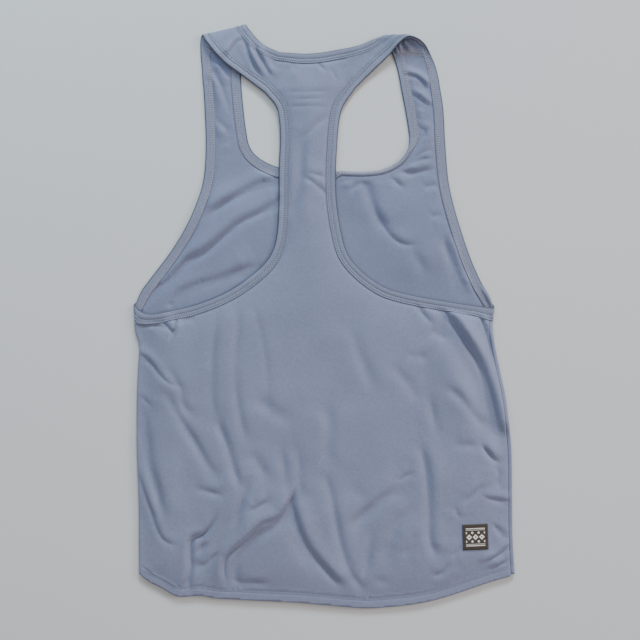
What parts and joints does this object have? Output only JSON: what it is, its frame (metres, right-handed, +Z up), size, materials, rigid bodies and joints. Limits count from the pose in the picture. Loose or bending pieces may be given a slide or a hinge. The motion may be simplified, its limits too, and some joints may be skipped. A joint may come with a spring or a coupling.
{
  "type": "stringer tank top",
  "caption": "Racerback stringer tank top lying flat with its back up, with bound neck and armholes, a curved hem and a small woven label.",
  "frame": {"origin": "middle of the garment's outline, on the surface that it lies on", "axes": "+Y from the hem to the shoulders, +X to the right edge as seen from above, +Z up out of the back"},
  "size_m": [0.473, 0.7236, 0.0144],
  "materials": {
    "jersey": "smooth fine knit, slight sheen",
    "binding_jersey": "folded fine knit with stitched rows",
    "woven_label": "matte weave"
  },
  "bodies": {
    "root": {"back_panel": "jersey", "front_panel": "jersey", "armhole_binding_left": "binding_jersey", "armhole_binding_right": "binding_jersey", "neck_binding": "binding_jersey", "label": "woven_label"}
  },
  "joints": []
}
